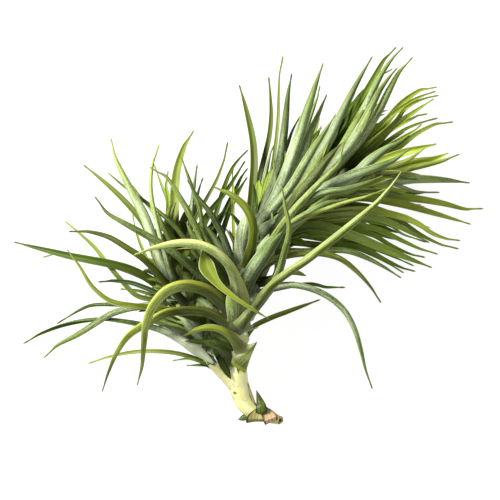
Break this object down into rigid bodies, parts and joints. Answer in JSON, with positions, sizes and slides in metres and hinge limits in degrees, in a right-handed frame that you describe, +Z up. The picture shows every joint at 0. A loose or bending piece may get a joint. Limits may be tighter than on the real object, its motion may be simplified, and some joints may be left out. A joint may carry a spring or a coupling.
{
  "type": "air plant",
  "caption": "Tufted air plant with two leafy shoots on a short forked stem, lying on a surface; narrow grooved leaves fan out all round each shoot.",
  "frame": {"origin": "on the resting surface under the middle of the plant's bounding box", "axes": "+Z up from the surface that the plant lies on; +X towards the tips of the larger, right-hand head; the cut foot of the stem points to -Y"},
  "size_m": [0.189, 0.1522, 0.0637],
  "materials": {
    "stem": "pale fleshy stem with leaf scars",
    "olive_leaf": "smooth olive, satin",
    "dark_leaf": "smooth deep green, satin",
    "silver_leaf": "silvery scurf, matte",
    "green_leaf": "thin grey scurf, satin",
    "bright_leaf": "yellow-green, satin with pale edges",
    "leaf_sheath": "pale papery sheath",
    "dry_scale": "dry brown papery bract",
    "green_thorn": "smooth dark green bract"
  },
  "bodies": {
    "root": {"main_stem": "stem", "side_shoot_stem": "stem", "left_olive_leaf_1": "olive_leaf", "left_dark_leaf_1": "dark_leaf", "left_silver_leaf_1": "silver_leaf", "left_green_leaf_1": "green_leaf", "left_dark_leaf_2": "dark_leaf", "left_dark_leaf_3": "dark_leaf", "left_green_leaf_2": "green_leaf", "left_olive_leaf_2": "olive_leaf", "left_olive_leaf_3": "olive_leaf", "left_dark_leaf_4": "dark_leaf", "foot_olive_leaf_1": "olive_leaf", "right_olive_leaf_1": "olive_leaf", "right_olive_leaf_2": "olive_leaf", "right_olive_leaf_3": "olive_leaf", "right_dark_leaf_1": "dark_leaf", "right_olive_leaf_4": "olive_leaf", "right_green_leaf_1": "green_leaf", "right_green_leaf_2": "green_leaf", "right_olive_leaf_5": "olive_leaf", "right_green_leaf_3": "green_leaf", "right_olive_leaf_6": "olive_leaf", "right_green_leaf_4": "green_leaf", "right_green_leaf_5": "green_leaf", "right_silver_leaf_1": "silver_leaf", "right_green_leaf_6": "green_leaf", "right_olive_leaf_7": "olive_leaf", "left_dark_leaf_5": "dark_leaf", "right_silver_leaf_2": "silver_leaf", "right_olive_leaf_8": "olive_leaf", "right_silver_leaf_3": "silver_leaf", "right_silver_leaf_4": "silver_leaf", "right_silver_leaf_5": "silver_leaf", "left_silver_leaf_2": "silver_leaf", "left_silver_leaf_3": "silver_leaf", "left_green_leaf_3": "green_leaf", "left_bright_leaf_1": "bright_leaf", "right_silver_leaf_6": "silver_leaf", "right_silver_leaf_7": "silver_leaf", "right_silver_leaf_8": "silver_leaf", "right_silver_leaf_9": "silver_leaf", "right_silver_leaf_10": "silver_leaf", "right_silver_leaf_11": "silver_leaf", "left_bright_leaf_2": "bright_leaf", "foot_bright_leaf_1": "bright_leaf", "left_green_leaf_4": "green_leaf", "left_bright_leaf_3": "bright_leaf", "left_green_leaf_5": "green_leaf", "left_silver_leaf_4": "silver_leaf", "right_bright_leaf_1": "bright_leaf", "right_bright_leaf_3": "bright_leaf", "left_bright_leaf_4": "bright_leaf", "left_bright_leaf_5": "bright_leaf", "right_silver_leaf_13": "silver_leaf", "right_bright_leaf_2": "bright_leaf", "collar_sheath": "leaf_sheath", "dry_scale_1": "dry_scale", "dry_scale_2": "dry_scale", "green_thorn": "green_thorn"}
  },
  "joints": []
}
